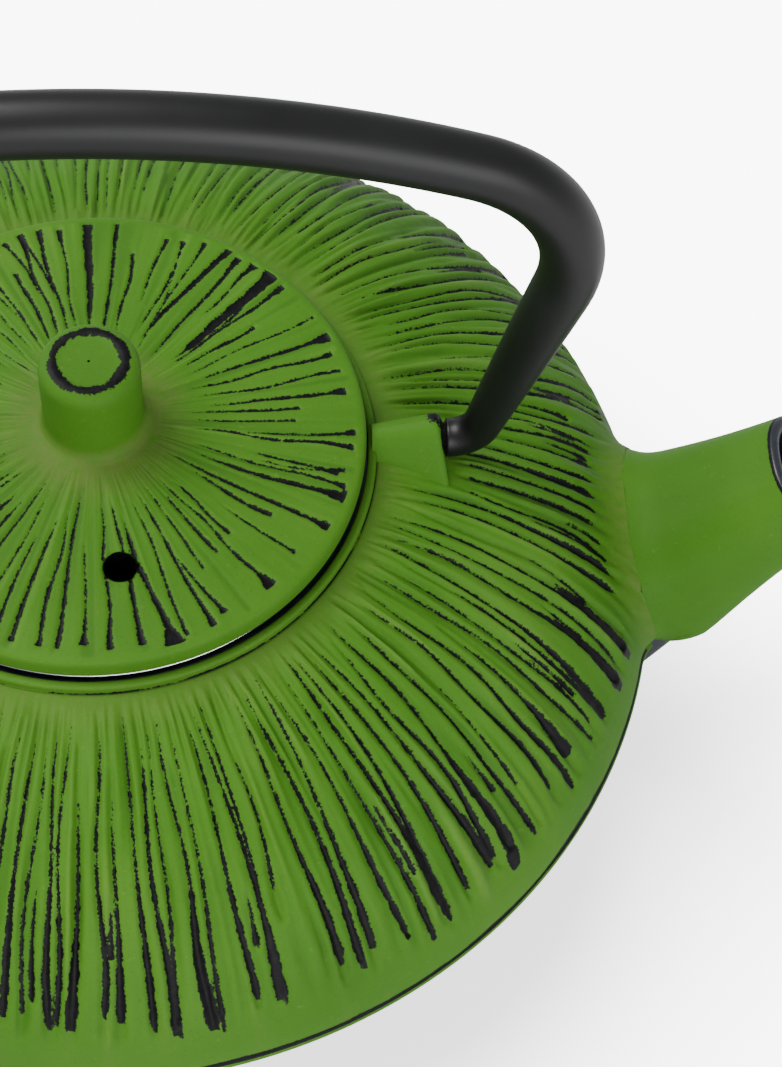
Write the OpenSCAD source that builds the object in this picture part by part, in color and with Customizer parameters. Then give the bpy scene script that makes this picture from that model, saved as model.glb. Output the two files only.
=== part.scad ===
// Cast iron teapot with a hinged steel bail, a drop-in lid and a mesh tea basket.
// The origin is the centre of the flat base, +Z is up and +X points to the spout.

/* [Pot body] */
// Diameter across the widest line of the body
body_d = 176.2; // [150:0.2:220]
// Height of the widest line above the table
equator_z = 40; // [30:0.5:60]
// Height from the widest line to the foot of the collar
dome_h = 32.8; // [25:0.1:45]
// Diameter of the flat base
base_d = 92; // [70:1:110]
// Thickness of the iron in the shell
wall = 3; // [2:0.1:5]
// Roundness of the upper half
dome_power = 1.65; // [1.4:0.05:2.2]
// Share of straight slope in the lower half, the rest curves in towards the base
bowl_slope = 0.75; // [0.5:0.05:1]

/* [Collar and mouth] */
// Width of the iron lip outside the recess
collar_lip = 1.3; // [1:0.1:6]
// Height of the raised collar
collar_h = 1.3; // [0.8:0.1:4]
// Depth of the iron ledge that carries the basket
ledge_t = 3.4; // [2:0.1:6]

/* [Spout] */
// Distance of the root of the spout axis outside the widest line
spout_out = 1.8; // [-2:0.1:6]
// Height of the root of the spout axis above the widest line
spout_up = 0; // [-6:0.1:8]
// Rise of the spout axis above level
spout_rise = 45.7; // [25:0.1:65]
// Outer radius of the spout at its root
spout_r = 16.2; // [12:0.1:20]
// Outer radius of the spout at its mouth
spout_tip_r = 10; // [7:0.1:14]
// Length of the spout along its axis
spout_len = 33; // [20:0.5:50]
// Centre of the rounded root, measured along the spout axis
spout_root = 1.3; // [-6:0.1:6]
// Tilt of the mouth cut from level
mouth_tilt = 30; // [0:1:60]
// Thickness of the iron in the spout
spout_wall = 2.6; // [1.8:0.1:4]

/* [Lugs] */
// Height of the hinge line above the foot of the collar
hinge_rise = 1.4; // [0:0.1:6]
// Length of a lug outside the collar
lug_len = 10.4; // [8:0.1:18]
// Width of a lug
lug_w = 11.5; // [9:0.1:16]
// Iron above the hinge hole
lug_cap = 2.6; // [1.8:0.1:5]

/* [Bail] */
// Radius of the bail rod over the top
bail_r = 4.5; // [3:0.1:6]
// Radius of the long top curve
bail_top_r = 160; // [90:1:200]
// Radius of the shoulder bend
bail_bend_r = 22; // [14:0.1:30]
// Length of the straight part of a leg
leg_len = 34; // [24:0.1:50]
// Inward lean of the legs
leg_lean = 15; // [5:0.1:25]
// Radius of the rod where it turns into the lug
hook_r = 2.7; // [2:0.05:4]
// Centreline radius of the hook bend
hook_bend_r = 5.5; // [4:0.1:9]
// Radius of the hinge pin
pin_r = 2.4; // [1.6:0.05:3.4]
// Length of the hinge pin
pin_len = 7; // [4:0.1:9]

/* [Lid] */
// Height of the lid edge
lid_edge_h = 4.3; // [2.5:0.1:6]
// Rise of the lid from its edge to the foot of the knob
lid_crown = 2.2; // [0:0.1:8]
// Thickness of the lid plate
lid_t = 3; // [2:0.1:5]
// Diameter of the knob
knob_d = 15; // [10:0.1:24]
// Height of the knob above the lid edge
knob_h = 17; // [10:0.5:30]
// Depth of the locating ring under the lid
skirt_h = 5; // [3:0.1:10]
// Diameter of the steam hole
vent_d = 5; // [3:0.1:7]
// Distance of the steam hole from the lid centre
vent_r = 25.6; // [18:0.1:33]
// Direction of the steam hole, anticlockwise from the spout
vent_az = -81; // [-180:1:180]

/* [Tea basket] */
// Width of the basket flange outside the basket
flange_w = 3.3; // [2:0.1:8]
// Depth of the flange below the top of the collar
flange_sink = 0.2; // [0:0.1:2]
// Thickness of the steel sheet
sheet = 0.6; // [0.4:0.1:1]
// Outer diameter of the basket
basket_d = 74; // [60:0.1:76]
// Depth of the basket below the flange
basket_h = 51; // [30:0.5:60]
// Height of the plain band under the flange
neck_h = 8; // [4:0.5:14]
// Height of the band round the basket floor
band_h = 4; // [2.5:0.1:8]
// Thickness of the woven mesh
mesh_t = 0.5; // [0.3:0.1:1]
// Width of the strip that closes the mesh
seam_w = 7; // [4:0.5:12]

/* [Clearances] */
// Gap under the basket flange and under the lid
rest_gap = 0.3; // [0.2:0.05:0.6]
// Gap round the locating ring of the lid
skirt_gap = 0.6; // [0.3:0.05:1.5]
// Gap round the basket in the opening of the pot
basket_gap = 1.2; // [0.4:0.1:3]
// Gap round the basket flange in the recess
flange_gap = 1; // [0.4:0.1:2]
// Gap round the lid in the recess
lid_gap = 0.3; // [0.3:0.05:1]
// Gap between a lug and the hook of the bail
hook_gap = 0.43; // [0.3:0.01:1.5]
// Radial clearance of the hinge pin in its hole
pin_play = 0.1; // [0.05:0.01:0.4]

/* [Hidden] */
$fn = 96;
draw = 0.03;
lap_a = 0.1;
steps = 18;
body_r = body_d / 2;
base_r = base_d / 2;
basket_r = basket_d / 2;
flange_r = basket_r + flange_w;
mouth_r = basket_r + basket_gap;
seat_r = flange_r + flange_gap;
collar_r = seat_r + collar_lip;
lid_r = seat_r - lid_gap;
ring_out = basket_r - sheet - skirt_gap;
ring_in = ring_out - 2.4;
knob_r = knob_d / 2;

shoulder_z = equator_z + dome_h;
collar_z = shoulder_z + collar_h;
flange_top_z = collar_z - flange_sink;
flange_low_z = flange_top_z - sheet;
seat_z = flange_low_z - rest_gap;
ledge_z = seat_z - ledge_t;
lid_bottom_z = flange_top_z + rest_gap;
lid_edge_z = lid_bottom_z + lid_edge_h;
lid_top_z = lid_edge_z + lid_crown;
knob_top_z = lid_edge_z + knob_h;
basket_z = flange_low_z - basket_h;

spout_x = body_r + spout_out;
spout_z = equator_z + spout_up;
hinge_z = shoulder_z + hinge_rise;
lug_in = seat_r + 0.4;
lug_x = collar_r + lug_len;

// Bail centreline beside and above the hinge line, from the pin up to the top curve
end_u = lug_x + hook_gap;
hook_u = end_u + hook_bend_r * cos(leg_lean);
hook_v = hook_bend_r * (1 - sin(leg_lean));
bend_u = hook_u + leg_len * sin(leg_lean) - bail_bend_r * cos(leg_lean);
bend_v = hook_v + leg_len * cos(leg_lean) + bail_bend_r * sin(leg_lean);
bail_top_a = asin(bend_u / (bail_top_r - bail_bend_r));
bail_h = bend_v + bail_top_r - (bail_top_r - bail_bend_r) * cos(bail_top_a);

// Which piece to draw

// Height of a rounded half shell, from 1 at t = 0 down to 0 at t = 1
function round_h(t, p) = pow(max(0, 1 - pow(t, p)), 1 / p);

// Points of the upper half, from the collar down to the widest line
function dome_points(r_in, r_out, z_lo, z_hi) = [
    for (i = [0:steps])
        let (a = 90 * i / steps, t = pow(sin(a), 2 / dome_power))
        [r_in + (r_out - r_in) * t, z_lo + (z_hi - z_lo) * round_h(t, dome_power)]
];

// Points of the lower half, from the widest line down to the base
function bowl_points(r_in, r_out, z_lo, z_hi) = [
    for (i = [0:steps])
        let (h = i / steps, t = 1 - bowl_slope * h - (1 - bowl_slope) * pow(h, 3))
        [r_in + (r_out - r_in) * t, z_hi - (z_hi - z_lo) * h]
];

// The same points in the opposite order
function turned(v) = [for (i = [len(v) - 1:-1:0]) v[i]];

// Body and collar filled solid, for trimming what stands on them
module pot_fill() {
    rotate_extrude()
        polygon(concat(
            [[0, 0], [0, collar_z], [collar_r - 0.2, collar_z]],
            dome_points(collar_r, body_r, equator_z, shoulder_z),
            bowl_points(base_r, body_r, 0, equator_z)
        ));
}

// Moves its children to the root of the spout, with Z along the spout
module on_spout() {
    translate([spout_x, 0, spout_z])
        rotate([0, 90 - spout_rise, 0])
            children();
}

// The spout as a cone with a rounded root, shrunk all round by one wall
module spout_solid(shrink) {
    taper = atan((spout_r - spout_tip_r) / spout_len);
    over = 14;
    round_r = (spout_r - spout_root * tan(taper)) * cos(taper) - shrink;
    on_spout()
        rotate_extrude()
            polygon(concat(
                [
                    for (i = [0:7])
                        let (a = -90 + (90 + taper) * i / 7)
                        [round_r * cos(a), spout_root + round_r * sin(a)]
                ],
                [
                    [spout_tip_r - over * tan(taper) - shrink, spout_len + over],
                    [0, spout_len + over]
                ]
            ));
}

// Everything above the slanted mouth of the spout
module mouth_cut() {
    translate([
        spout_x + spout_len * cos(spout_rise),
        0,
        spout_z + spout_len * sin(spout_rise)
    ])
        rotate([0, mouth_tilt, 0])
            translate([-40, -40, 0])
                cube([80, 80, 60]);
}

// Hinge hole of the lug on the spout side
module lug_bore() {
    translate([lug_in + 1.8, 0, hinge_z])
        rotate([0, 90, 0])
            cylinder(h = lug_x, r = pin_r + pin_play);
}

// Lower half of the pot, from the parting line down to the base
module pot_bowl() {
    color([0.29, 0.47, 0.13])
        difference() {
            rotate_extrude()
                polygon(concat(
                    bowl_points(base_r, body_r, 0, equator_z),
                    [[0, 0], [0, wall]],
                    turned(bowl_points(base_r - wall, body_r - wall, wall, equator_z))
                ));
            spout_solid(spout_wall);
        }
}

// Upper half of the pot, from the parting line up to the collar
module pot_dome() {
    color([0.29, 0.47, 0.13])
        difference() {
            rotate_extrude()
                polygon(concat(
                    dome_points(collar_r, body_r, equator_z, shoulder_z),
                    turned(dome_points(collar_r, body_r - wall, equator_z, ledge_z))
                ));
            spout_solid(spout_wall);
            lug_bore();
            mirror([1, 0, 0])
                lug_bore();
        }
}

// Raised collar with the recess and the ledge that carry the basket
module collar() {
    color([0.29, 0.47, 0.13])
        rotate_extrude()
            polygon([
                [mouth_r, ledge_z],
                [collar_r, ledge_z],
                [collar_r, shoulder_z],
                [collar_r - 0.2, collar_z],
                [seat_r, collar_z],
                [seat_r, seat_z],
                [mouth_r, seat_z]
            ]);
}

// Hollow spout with a slanted mouth, cast on to the body
module spout() {
    color([0.29, 0.47, 0.13])
        difference() {
            spout_solid(0);
            mouth_cut();
            spout_solid(spout_wall);
            pot_fill();
        }
}

// One hinge lug, a block with a half round top and a hole for the pin
module lug() {
    top_r = pin_r + pin_play + lug_cap;
    foot_z = shoulder_z - 9;
    color([0.29, 0.47, 0.13])
        difference() {
            union() {
                translate([lug_in, -lug_w / 2, foot_z])
                    cube([lug_x - lug_in, lug_w, hinge_z + top_r - 1.8 - foot_z]);
                translate([lug_in, 0, hinge_z])
                    rotate([0, 90, 0])
                        cylinder(h = lug_x - lug_in, r = top_r);
            }
            pot_fill();
            lug_bore();
        }
}

module lug_front() {
    lug();
}

module lug_rear() {
    mirror([1, 0, 0])
        lug();
}

// Shoulder bend, leg, hook and pin of the bail on the spout side, about the hinge line
module bail_end() {
    // shoulder bend
    translate([bend_u, 0, bend_v])
        rotate([90, 0, 0])
            rotate([0, 0, -leg_lean])
                rotate_extrude(angle = 90 - bail_top_a + leg_lean + lap_a)
                    translate([bail_bend_r, 0])
                        circle(r = bail_r - draw);
    // tapered leg
    translate([hook_u, 0, hook_v])
        rotate([0, leg_lean, 0])
            cylinder(h = leg_len + draw, r1 = hook_r + draw, r2 = bail_r - 2 * draw);
    // hook bend
    translate([end_u, 0, hook_bend_r])
        rotate([90, 0, 0])
            rotate([0, 0, -90])
                rotate_extrude(angle = 90 - leg_lean + 3 * lap_a)
                    translate([hook_bend_r, 0])
                        circle(r = hook_r);
    // hinge pin
    translate([end_u - pin_len, 0, 0])
        rotate([0, 90, 0])
            cylinder(h = pin_len + draw, r = pin_r);
}

// One bent rod with a hooked pin at each end
module bail() {
    color([0.05, 0.05, 0.05])
        translate([0, 0, hinge_z])
            union() {
                translate([0, 0, bail_h - bail_top_r])
                    rotate([90, 0, 0])
                        rotate([0, 0, 90 - bail_top_a])
                            rotate_extrude(angle = 2 * bail_top_a)
                                translate([bail_top_r, 0])
                                    circle(r = bail_r);
                bail_end();
                mirror([1, 0, 0])
                    bail_end();
            }
}

// Low domed plate of the lid with its steam hole
module lid() {
    round_r = 1.1;
    color([0.29, 0.47, 0.13])
        difference() {
            rotate_extrude()
                polygon([
                    [0, lid_top_z - lid_t],
                    [ring_in, lid_bottom_z],
                    [lid_r - round_r, lid_bottom_z],
                    [lid_r - 0.3, lid_bottom_z + 0.3],
                    [lid_r, lid_bottom_z + round_r],
                    [lid_r, lid_edge_z - round_r],
                    [lid_r - 0.3, lid_edge_z - 0.3],
                    [lid_r - round_r, lid_edge_z],
                    [lid_r * 0.7, lid_edge_z + lid_crown * 0.32],
                    [lid_r * 0.45, lid_edge_z + lid_crown * 0.62],
                    [lid_r * 0.3, lid_edge_z + lid_crown * 0.84],
                    [knob_r + 1.6, lid_top_z],
                    [0, lid_top_z]
                ]);
            rotate([0, 0, vent_az])
                translate([vent_r, 0, lid_bottom_z - 1])
                    cylinder(h = lid_edge_h + lid_crown + 2, d = vent_d);
        }
}

// Ring under the lid that keeps it centred in the basket
module lid_ring() {
    color([0.29, 0.47, 0.13])
        rotate_extrude()
            polygon([
                [ring_in, lid_bottom_z],
                [ring_in + 0.2, lid_bottom_z - skirt_h],
                [ring_out - 0.2, lid_bottom_z - skirt_h],
                [ring_out, lid_bottom_z]
            ]);
}

// Round knob in the middle of the lid
module knob() {
    color([0.29, 0.47, 0.13])
        rotate_extrude()
            polygon([
                [0, lid_top_z],
                [knob_r + 1.6, lid_top_z],
                [knob_r + 0.5, lid_top_z + 0.6],
                [knob_r, lid_top_z + 1.8],
                [knob_r, knob_top_z - 1.2],
                [knob_r - 0.4, knob_top_z - 0.4],
                [knob_r - 1.4, knob_top_z],
                [0, knob_top_z]
            ]);
}

// Flange and plain neck of the basket, pressed from one sheet
module infuser_rim() {
    color([0.75, 0.76, 0.77])
        rotate_extrude()
            polygon([
                [basket_r - sheet, flange_low_z - neck_h],
                [basket_r, flange_low_z - neck_h],
                [basket_r, flange_low_z],
                [flange_r - 0.2, flange_low_z],
                [flange_r, flange_low_z + 0.2],
                [flange_r, flange_top_z - 0.2],
                [flange_r - 0.2, flange_top_z],
                [basket_r - sheet, flange_top_z]
            ]);
}

// Woven mesh wall, fixed inside the neck and the floor band
module infuser_mesh() {
    r_out = basket_r - sheet;
    lap = 3;
    color([0.62, 0.63, 0.64])
        translate([0, 0, basket_z])
            difference() {
                cylinder(h = basket_h - neck_h + lap, r = r_out);
                translate([0, 0, -1])
                    cylinder(h = basket_h - neck_h + lap + 2, r = r_out - mesh_t);
            }
}

// Plain band round the floor of the basket
module infuser_band() {
    color([0.75, 0.76, 0.77])
        translate([0, 0, basket_z - sheet])
            difference() {
                cylinder(h = band_h + sheet, r = basket_r);
                translate([0, 0, sheet])
                    cylinder(h = band_h + 1, r = basket_r - sheet);
                translate([0, 0, -1])
                    cylinder(h = band_h + 2, r = basket_r - 4);
            }
}

// Woven mesh disc held in the floor band
module infuser_floor() {
    color([0.62, 0.63, 0.64])
        translate([0, 0, basket_z])
            cylinder(h = mesh_t, r = basket_r - sheet - mesh_t);
}

// Strip over the joint in the mesh wall
module infuser_seam() {
    r_out = basket_r - sheet - mesh_t;
    color([0.75, 0.76, 0.77])
        translate([0, 0, basket_z + mesh_t])
            intersection() {
                difference() {
                    cylinder(h = basket_h - neck_h - mesh_t, r = r_out);
                    translate([0, 0, -1])
                        cylinder(h = basket_h - neck_h + 2, r = r_out - sheet);
                }
                translate([-seam_w / 2, 0, -1])
                    cube([seam_w, basket_d, basket_h]);
            }
}

pot_bowl();
pot_dome();
collar();
spout();
lug_front();
lug_rear();
bail();
lid();
lid_ring();
knob();
infuser_rim();
infuser_mesh();
infuser_band();
infuser_floor();
infuser_seam();
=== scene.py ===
# Cast iron teapot: the looks of each piece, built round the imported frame.
# Lengths are in millimetres until add_mesh scales them to metres.
import math

import bpy
import numpy as np
from mathutils import Matrix, Vector


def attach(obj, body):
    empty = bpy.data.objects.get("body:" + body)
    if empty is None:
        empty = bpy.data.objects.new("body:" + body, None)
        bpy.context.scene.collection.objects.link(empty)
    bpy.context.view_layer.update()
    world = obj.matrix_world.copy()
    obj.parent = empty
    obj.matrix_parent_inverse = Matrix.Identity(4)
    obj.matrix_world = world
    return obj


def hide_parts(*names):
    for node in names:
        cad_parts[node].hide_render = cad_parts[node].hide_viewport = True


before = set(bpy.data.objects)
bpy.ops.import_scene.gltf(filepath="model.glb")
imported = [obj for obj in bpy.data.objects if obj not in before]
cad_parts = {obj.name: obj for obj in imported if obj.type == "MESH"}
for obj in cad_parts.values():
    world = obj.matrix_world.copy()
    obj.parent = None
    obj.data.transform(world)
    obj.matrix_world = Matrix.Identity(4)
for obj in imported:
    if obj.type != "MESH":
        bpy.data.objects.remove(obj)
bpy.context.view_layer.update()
MM = 0.001

# ---------------------------------------------------------------- sizes, mm
# body: radius and height of the widest line, foot and top of the collar
BODY_R, EQ_Z, SH_Z, COL_R, COL_Z = 88.1, 40.0, 72.8, 42.6, 74.3
BASE_R, WALL = 46.0, 3.0
# recess for the basket and clear opening
SEAT_R, SEAT_Z, MOUTH_R = 41.3, 73.0, 38.2
# underside of the ledge round the opening
LEDGE_Z = 69.6
# roundness of the upper half, straight share of the lower half
DOME_P, BOWL_S = 1.65, 0.75
# spout: root of the axis, its rise, radii at root and mouth, length
SP_O = np.array([89.9, 0.0, 40.0])
SP_A = math.radians(45.7)
SP_D = np.array([math.cos(SP_A), 0.0, math.sin(SP_A)])
SP_R, SP_TIP, SP_L = 15.8, 9.7, 33.0
SP_T = math.atan((SP_R - SP_TIP) / SP_L)
# plane of the slanted mouth
CUT = math.radians(30)
CUT_N = np.array([math.sin(CUT), 0.0, math.cos(CUT)])
CUT_P = SP_O + SP_L * SP_D
LID_Z = 78.5
HINGE_Z = 74.2
rng = np.random.default_rng(11)


# ---------------------------------------------------------------- helpers
def smooth(e0, e1, x):
    """Smooth step from 0 at e0 to 1 at e1."""
    t = np.clip((x - e0) / (e1 - e0), 0.0, 1.0)
    return t * t * (3 - 2 * t)


def add_mesh(name, verts, faces, mats, idx=None, attrs=None):
    """A smooth shaded mesh object from points in millimetres."""
    me = bpy.data.meshes.new(name)
    face_list = faces.tolist() if isinstance(faces, np.ndarray) else faces
    me.from_pydata((np.asarray(verts) * MM).tolist(), [], face_list)
    for m in mats:
        me.materials.append(m)
    if idx is not None:
        me.polygons.foreach_set("material_index", np.asarray(idx, dtype=np.int32))
    me.polygons.foreach_set("use_smooth", np.ones(len(me.polygons), dtype=bool))
    attrs = dict(attrs or {})
    if attrs and "dust" not in attrs:
        attrs["dust"] = np.zeros(len(verts))
    for key, val in attrs.items():
        a = me.attributes.new(key, "FLOAT", "POINT")
        a.data.foreach_set("value", np.asarray(val, dtype=np.float32).ravel())
    me.update()
    ob = bpy.data.objects.new(name, me)
    bpy.context.scene.collection.objects.link(ob)
    return ob


def quads(rows, cols, wrap=True):
    """Faces of a grid with that many rows and columns, the columns closed into a ring."""
    c1 = cols if wrap else cols - 1
    i = np.arange(rows - 1)[:, None] * cols
    j = np.arange(c1)[None, :]
    k = (j + 1) % cols
    return np.stack([i + j, i + k, i + cols + k, i + cols + j], -1).reshape(-1, 4)


def drop_unused(verts, faces, attrs):
    """Leaves out the points that no face uses, and their attributes."""
    used = np.zeros(len(verts), bool)
    used[faces.ravel()] = True
    new = np.cumsum(used) - 1
    return verts[used], new[faces], {k: np.asarray(v).ravel()[used] for k, v in attrs.items()}


def revolve(points, cols):
    """Turns a profile of radius and height about Z."""
    p = np.asarray(points, float)
    a = np.linspace(0, 2 * np.pi, cols, endpoint=False)
    x = p[:, :1] * np.cos(a)
    y = p[:, :1] * np.sin(a)
    z = np.repeat(p[:, 1:2], cols, 1)
    return np.stack([x, y, z], -1).reshape(-1, 3)


def around(r, z, th):
    """Rows of radius r and height z carried round the angles th."""
    return np.stack([r[:, None] * np.cos(th), r[:, None] * np.sin(th), z[:, None] + 0 * th], -1)


def resample(points, step):
    """The same line with points at even steps."""
    p = np.asarray(points, float)
    s = np.concatenate([[0], np.cumsum(np.linalg.norm(np.diff(p, axis=0), axis=1))])
    n = max(2, int(round(s[-1] / step)) + 1)
    t = np.linspace(0, s[-1], n)
    return np.stack([np.interp(t, s, p[:, k]) for k in range(p.shape[1])], -1)


# ---------------------------------------------------------------- materials
def nodes_of(name):
    m = bpy.data.materials.new(name)
    m.use_nodes = True
    nt = m.node_tree
    b = nt.nodes["Principled BSDF"]
    return m, nt, b


def noise(nt, scale, detail=3.0, rough=0.55, coord="Object"):
    tc = nt.nodes.new("ShaderNodeTexCoord")
    n = nt.nodes.new("ShaderNodeTexNoise")
    n.inputs["Scale"].default_value = scale
    n.inputs["Detail"].default_value = detail
    n.inputs["Roughness"].default_value = rough
    nt.links.new(tc.outputs[coord], n.inputs["Vector"])
    return n.outputs["Fac"]


def math_node(nt, op, a, b=None, c=None, clamp=False):
    n = nt.nodes.new("ShaderNodeMath")
    n.operation = op
    n.use_clamp = clamp
    for i, v in enumerate((a, b, c)):
        if v is None:
            continue
        if isinstance(v, (int, float)):
            n.inputs[i].default_value = v
        else:
            nt.links.new(v, n.inputs[i])
    return n.outputs[0]


def ramp(nt, fac, stops):
    n = nt.nodes.new("ShaderNodeValToRGB")
    el = n.color_ramp.elements
    while len(el) < len(stops):
        el.new(0.5)
    for e, (pos, col) in zip(el, stops):
        e.position = pos
        e.color = (*col, 1.0)
    nt.links.new(fac, n.inputs["Fac"])
    return n.outputs["Color"]


def mix_col(nt, fac, a, b, mode="MIX"):
    n = nt.nodes.new("ShaderNodeMix")
    n.data_type = "RGBA"
    n.blend_type = mode
    if isinstance(fac, (int, float)):
        n.inputs[0].default_value = fac
    else:
        nt.links.new(fac, n.inputs[0])
    for sock, v in ((n.inputs[6], a), (n.inputs[7], b)):
        if isinstance(v, tuple):
            sock.default_value = (*v, 1.0)
        else:
            nt.links.new(v, sock)
    return n.outputs[2]


def bump(nt, height, strength, dist):
    n = nt.nodes.new("ShaderNodeBump")
    n.inputs["Strength"].default_value = strength
    n.inputs["Distance"].default_value = dist
    nt.links.new(height, n.inputs["Height"])
    return n.outputs["Normal"]


def attr(nt, name):
    n = nt.nodes.new("ShaderNodeAttribute")
    n.attribute_name = name
    return n.outputs["Fac"]


def map_range(nt, v, a, b, c=0.0, d=1.0):
    n = nt.nodes.new("ShaderNodeMapRange")
    n.interpolation_type = "SMOOTHSTEP"
    n.inputs["From Min"].default_value = a
    n.inputs["From Max"].default_value = b
    n.inputs["To Min"].default_value = c
    n.inputs["To Max"].default_value = d
    nt.links.new(v, n.inputs["Value"])
    return n.outputs["Result"]


def green_iron():
    m, nt, b = nodes_of("green_enamel_iron")
    broad = noise(nt, 28.0, 4.0, 0.6)
    fine = noise(nt, 900.0, 3.0, 0.6)
    grain = noise(nt, 2600.0, 2.0, 0.6)
    rag_a = noise(nt, 2500.0, 3.0, 0.6)
    rag_b = noise(nt, 650.0, 2.0, 0.5)
    green = ramp(nt, broad, [
        (0.3, (0.037, 0.122, 0.0062)),
        (0.5, (0.043, 0.136, 0.0078)),
        (0.7, (0.054, 0.152, 0.0110))])
    rib = attr(nt, "rib")
    # Painted highlight on the crests of the combed ribs (lighter green) and painted shade in their troughs
    # (darker green).
    green = mix_col(nt, map_range(nt, rib, 0.25, 0.95, 0.0, 0.5), green, (0.076, 0.190, 0.020))
    green = mix_col(nt, map_range(nt, rib, -0.9, -0.05, 0.45, 0.0), green, (0.021, 0.080, 0.004))
    # Painted highlight: lighter green flecks where the fine noise that raises the bump is high.
    fleck_highlight = map_range(nt, fine, 0.62, 0.78, 0.0, 0.3)
    green = mix_col(nt, fleck_highlight, green, (0.125, 0.205, 0.035))
    dark = map_range(nt, grain, 0.25, 0.42, 0.35, 0.0)
    green = mix_col(nt, dark, green, (0.024, 0.065, 0.004))
    dust = attr(nt, "dust")
    dusty = math_node(nt, "MULTIPLY", dust, map_range(nt, rag_b, 0.25, 0.65, 0.25, 0.75))
    green = mix_col(nt, dusty, green, (0.092, 0.125, 0.028))
    ink = attr(nt, "ink")
    e = math_node(nt, "MULTIPLY", math_node(nt, "SUBTRACT", rag_a, 0.5), 0.8)
    e2 = math_node(nt, "MULTIPLY", math_node(nt, "SUBTRACT", rag_b, 0.5), 0.42)
    edge = math_node(nt, "ADD", math_node(nt, "ADD", ink, e), e2)
    black = map_range(nt, edge, -0.03, 0.09)
    iron = ramp(nt, fine, [(0.35, (0.0006, 0.0006, 0.0008)), (0.75, (0.0050, 0.0050, 0.0060))])
    nt.links.new(mix_col(nt, black, green, iron), b.inputs["Base Color"])
    rough = math_node(nt, "ADD", 0.56, math_node(nt, "MULTIPLY", black, -0.12))
    rough = math_node(nt, "ADD", rough, math_node(nt, "MULTIPLY", broad, 0.1))
    nt.links.new(rough, b.inputs["Roughness"])
    h = math_node(nt, "ADD", math_node(nt, "MULTIPLY", fine, 0.6), math_node(nt, "MULTIPLY", grain, 0.35))
    h = math_node(nt, "SUBTRACT", h, math_node(nt, "MULTIPLY", black, 0.55))
    nt.links.new(bump(nt, h, 0.45, 0.00016), b.inputs["Normal"])
    b.inputs["Specular IOR Level"].default_value = 0.12
    return m


def black_enamel():
    m, nt, b = nodes_of("black_enamel")
    fine = noise(nt, 300.0, 3.0)
    blue_black = ramp(nt, fine, [(0.35, (0.006, 0.008, 0.013)), (0.7, (0.014, 0.017, 0.024))])
    nt.links.new(blue_black, b.inputs["Base Color"])
    nt.links.new(math_node(nt, "ADD", 0.24, math_node(nt, "MULTIPLY", fine, 0.16)), b.inputs["Roughness"])
    nt.links.new(bump(nt, noise(nt, 700.0, 2.0), 0.25, 0.0001), b.inputs["Normal"])
    return m


def black_satin():
    m, nt, b = nodes_of("satin_black_steel")
    fine = noise(nt, 1800.0, 2.0)
    broad = noise(nt, 60.0, 3.0)
    black = ramp(nt, broad, [(0.3, (0.0028, 0.0028, 0.003)), (0.7, (0.0050, 0.0050, 0.0053))])
    nt.links.new(black, b.inputs["Base Color"])
    nt.links.new(math_node(nt, "ADD", 0.38, math_node(nt, "MULTIPLY", broad, 0.10)), b.inputs["Roughness"])
    nt.links.new(bump(nt, fine, 0.25, 0.00005), b.inputs["Normal"])
    b.inputs["Specular IOR Level"].default_value = 0.3
    return m


def steel(name, tone=0.62):
    m, nt, b = nodes_of(name)
    tc = nt.nodes.new("ShaderNodeTexCoord")
    mp = nt.nodes.new("ShaderNodeMapping")
    mp.inputs["Scale"].default_value = (60.0, 60.0, 2500.0)
    n = nt.nodes.new("ShaderNodeTexNoise")
    n.inputs["Scale"].default_value = 1.0
    n.inputs["Detail"].default_value = 3.0
    nt.links.new(tc.outputs["Object"], mp.inputs["Vector"])
    nt.links.new(mp.outputs["Vector"], n.inputs["Vector"])
    grey = ramp(nt, n.outputs["Fac"], [(0.3, (tone * 0.9,) * 3), (0.7, (tone * 1.08,) * 3)])
    nt.links.new(grey, b.inputs["Base Color"])
    b.inputs["Metallic"].default_value = 1.0
    rough = math_node(nt, "ADD", 0.18, math_node(nt, "MULTIPLY", n.outputs["Fac"], 0.14))
    nt.links.new(rough, b.inputs["Roughness"])
    nt.links.new(bump(nt, n.outputs["Fac"], 0.15, 0.00003), b.inputs["Normal"])
    return m


M_GREEN = green_iron()
M_ENAMEL = black_enamel()
M_SATIN = black_satin()
M_STEEL = steel("bright_steel", 0.72)
M_MESH = steel("wire_steel", 0.5)


# ---------------------------------------------------------------- distances
def d_body(p):
    r = np.hypot(p[:, 0], p[:, 1])
    z = p[:, 2]
    w = BODY_R - COL_R
    tr = np.maximum((r - COL_R) / w, 1e-4)
    tz = np.maximum((z - EQ_Z) / (SH_Z - EQ_Z), 1e-4)
    f = tr ** DOME_P + tz ** DOME_P - 1
    g = DOME_P * np.hypot(tr ** (DOME_P - 1) / w, tz ** (DOME_P - 1) / (SH_Z - EQ_Z))
    upper = f / np.maximum(g, 1e-5)
    h = np.clip((EQ_Z - z) / EQ_Z, 0, 1)
    edge = BASE_R + (BODY_R - BASE_R) * (1 - BOWL_S * h - (1 - BOWL_S) * h ** 3)
    slope = (BODY_R - BASE_R) / EQ_Z * (BOWL_S + 3 * (1 - BOWL_S) * h ** 2)
    lower = (r - edge) / np.sqrt(1 + slope ** 2)
    return np.where(z >= EQ_Z, upper, lower)


SP_Q, SP_N = 0.88, 2.5


def spout_r(s):
    return SP_R - np.tan(SP_T) * s - 0.5 * np.sin(np.pi * np.clip((s - 4) / (SP_L - 4), 0, 1))


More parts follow.
